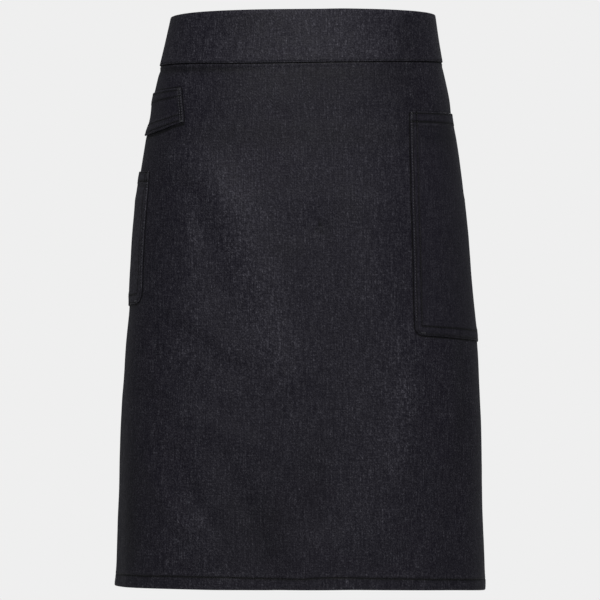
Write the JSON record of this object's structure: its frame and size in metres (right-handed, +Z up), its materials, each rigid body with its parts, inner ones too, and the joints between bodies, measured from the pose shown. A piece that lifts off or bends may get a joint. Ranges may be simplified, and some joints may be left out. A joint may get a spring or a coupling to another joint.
{
  "type": "waist apron",
  "caption": "Knee-length waist apron of black coated twill, worn: wide waistband, A-line skirt open at the back, side pocket, hip pocket, towel loop and a tie.",
  "frame": {"origin": "centre of the waist opening, half way up the waistband, where the wearer's waist sits", "axes": "+Z up, the front of the apron faces -Y, +X is on the right of someone who faces it"},
  "size_m": [0.4215, 0.2733, 0.6582],
  "materials": {
    "black_twill": "coated cotton twill, low sheen",
    "tie_tape": "flat cotton tape, matt"
  },
  "bodies": {
    "root": {"apron_panel": "black_twill", "waistband": "black_twill", "side_pocket": "black_twill", "hip_pocket": "black_twill", "towel_loop": "black_twill", "back_tie": "tie_tape"}
  },
  "joints": []
}
